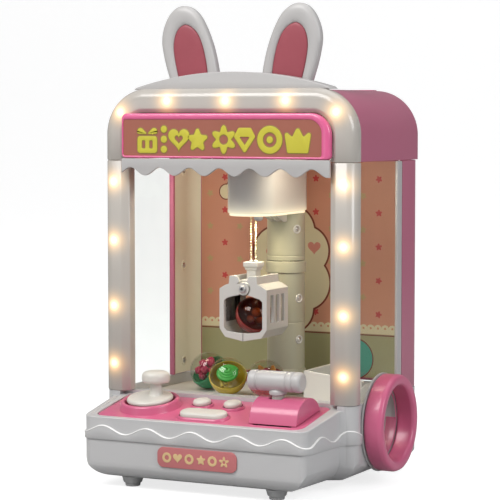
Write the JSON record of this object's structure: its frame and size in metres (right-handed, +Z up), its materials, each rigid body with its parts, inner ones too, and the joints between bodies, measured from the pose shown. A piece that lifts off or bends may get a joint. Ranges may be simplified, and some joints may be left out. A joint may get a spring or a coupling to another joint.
{
  "type": "toy claw crane machine",
  "caption": "Toy claw crane: lit arch cabinet with rabbit ears, swinging crane with clamshell claw, joystick, buttons, cross lever and a round prize outlet.",
  "frame": {"origin": "centre of the footprint, at the bottom of the feet", "axes": "+Z up, +X to the right of the player, who stands in front at -Y and looks along +Y"},
  "size_m": [0.2351, 0.2048, 0.3759],
  "materials": {
    "white_shell": "satin moulded ABS, pearly grey white",
    "cream_plastic": "satin moulded plastic, warm white",
    "pearl_cover": "milky translucent cover over the lamps",
    "pink_shell": "satin moulded ABS, rose pink",
    "muted_print": "muted pink print with yellow marks",
    "ear_rose": "dusty rose inset",
    "foot_rubber": "grey soft plastic",
    "clear_window": "clear plastic pane",
    "printed_card": "printed card, peach with small flowers",
    "steel": "plain steel",
    "ball_chain": "small ball chain",
    "lamp_strip": "warm white lamps on a flexible strip",
    "lamp_lens": "grey lamp lens",
    "capsule_green": "green cup with clear dome",
    "capsule_yellow": "yellow cup with clear dome",
    "capsule_red": "red cup with clear dome",
    "capsule_dark": "dark red capsule",
    "board_green": "circuit board",
    "dark_plastic": "dark plastic"
  },
  "bodies": {
    "cabinet": {"control_panel": "pink_shell", "base_lower_shell": "white_shell", "base_upper_shell": "white_shell", "base_plaque": "muted_print", "foot_front_left": "foot_rubber", "foot_front_right": "foot_rubber", "foot_rear_left": "foot_rubber", "foot_rear_right": "foot_rubber", "play_floor": "cream_plastic", "prize_fence": "cream_plastic", "prize_chute": "cream_plastic", "outlet_flange": "cream_plastic", "prize_ring": "pink_shell", "lever_housing": "pink_shell", "light_post_left": "pearl_cover", "light_post_right": "pearl_cover", "light_arch": "pearl_cover", "led_strip": "lamp_strip", "crest": "white_shell", "ear_left": "white_shell", "ear_insert_left": "ear_rose", "ear_right": "white_shell", "ear_insert_right": "ear_rose", "sign_board": "pink_shell", "valance": "white_shell", "roof_shell": "pink_shell", "rear_post_left": "pink_shell", "window_left": "clear_window", "rear_post_right": "pink_shell", "window_right": "clear_window", "tower_tube": "white_shell", "turn_motor": "steel", "capsule_green": "capsule_green", "capsule_yellow": "capsule_yellow", "capsule_red": "capsule_red", "main_board": "board_green", "speaker": "dark_plastic", "battery_tray": "white_shell", "battery_cover": "white_shell"},
    "door": {"rear_door": "pink_shell", "backdrop_panel": "printed_card"},
    "arm": {"arm_housing": "white_shell", "spot_lamp": "lamp_lens", "turn_gear": "cream_plastic"},
    "pinion": {"pinion": "cream_plastic"},
    "spool": {"hoist_spool": "cream_plastic"},
    "claw": {"claw_head": "white_shell", "hoist_chain": "ball_chain", "claw_screw": "steel", "held_capsule": "capsule_dark"},
    "jaw_left": {"jaw_left": "white_shell"},
    "jaw_right": {"jaw_right": "white_shell"},
    "gimbal": {"joystick_gimbal": "steel"},
    "stick": {"joystick_stick": "white_shell"},
    "button_left": {"button_left": "cream_plastic"},
    "button_right": {"button_right": "cream_plastic"},
    "button_oval": {"button_oval": "cream_plastic"},
    "lever": {"lever_handle": "white_shell"},
    "switch": {"power_switch": "dark_plastic"}
  },
  "joints": [
    {"name": "door_hinge", "type": "hinge", "parent": "cabinet", "child": "door", "pos_m": [-0.0951, 0.0999, 0.16], "axis": [0, 0, 1], "range_deg": [0, 100]},
    {"name": "arm_turn", "type": "hinge", "parent": "cabinet", "child": "arm", "pos_m": [-0.0058, 0.0609, 0.17], "axis": [0, 0, 1], "range_deg": [-75, 75]},
    {"name": "pinion_spin", "type": "hinge", "parent": "cabinet", "child": "pinion", "pos_m": [-0.0058, 0.0426, 0.046], "axis": [0, 0, 1], "range_deg": [-151, 151]},
    {"name": "claw_hoist", "type": "slide", "parent": "arm", "child": "claw", "axis": [0, 0, 1], "range_m": [-0.017, 0.017]},
    {"name": "spool_spin", "type": "hinge", "parent": "arm", "child": "spool", "pos_m": [-0.0074, 0.0179, 0.24], "axis": [1, 0, 0], "range_deg": [-122.5, 122.5]},
    {"name": "jaw_left_open", "type": "hinge", "parent": "claw", "child": "jaw_left", "pos_m": [-0.0074, 0.0049, 0.1515], "axis": [0, 1, 0], "range_deg": [0, 24]},
    {"name": "jaw_right_open", "type": "hinge", "parent": "claw", "child": "jaw_right", "pos_m": [-0.0074, 0.0049, 0.1515], "axis": [0, 1, 0], "range_deg": [-24, 0]},
    {"name": "stick_fore_aft", "type": "hinge", "parent": "cabinet", "child": "gimbal", "pos_m": [-0.0631, -0.06627, 0.06746], "axis": [1, 0, 0], "range_deg": [-8, 8], "stiffness_Nm_per_rad": 0.06},
    {"name": "stick_side", "type": "hinge", "parent": "gimbal", "child": "stick", "pos_m": [-0.0631, -0.06627, 0.06746], "axis": [0, 0.986, 0.1668], "range_deg": [-8, 8], "stiffness_Nm_per_rad": 0.06},
    {"name": "button_left_press", "type": "slide", "parent": "cabinet", "child": "button_left", "axis": [0, 0.1668, -0.986], "range_m": [0, 0.0014], "stiffness_N_per_m": 250, "springref_m": -0.001},
    {"name": "button_right_press", "type": "slide", "parent": "cabinet", "child": "button_right", "axis": [0, 0.1668, -0.986], "range_m": [0, 0.0014], "stiffness_N_per_m": 250, "springref_m": -0.001},
    {"name": "button_oval_press", "type": "slide", "parent": "cabinet", "child": "button_oval", "axis": [0, 0.1668, -0.986], "range_m": [0, 0.0014], "stiffness_N_per_m": 300, "springref_m": -0.001},
    {"name": "lever_tilt", "type": "hinge", "parent": "cabinet", "child": "lever", "pos_m": [0.0501, -0.0661, 0.057], "axis": [1, 0, 0], "range_deg": [-30, 0]},
    {"name": "switch_slide", "type": "slide", "parent": "cabinet", "child": "switch", "axis": [1, 0, 0], "range_m": [0, 0.004]}
  ],
  "couplings": [
    {"joint": "pinion_spin", "follows": "arm_turn", "ratio": -2},
    {"joint": "spool_spin", "follows": "claw_hoist", "rad_per_m": 125},
    {"joint": "jaw_right_open", "follows": "jaw_left_open", "ratio": -1}
  ]
}
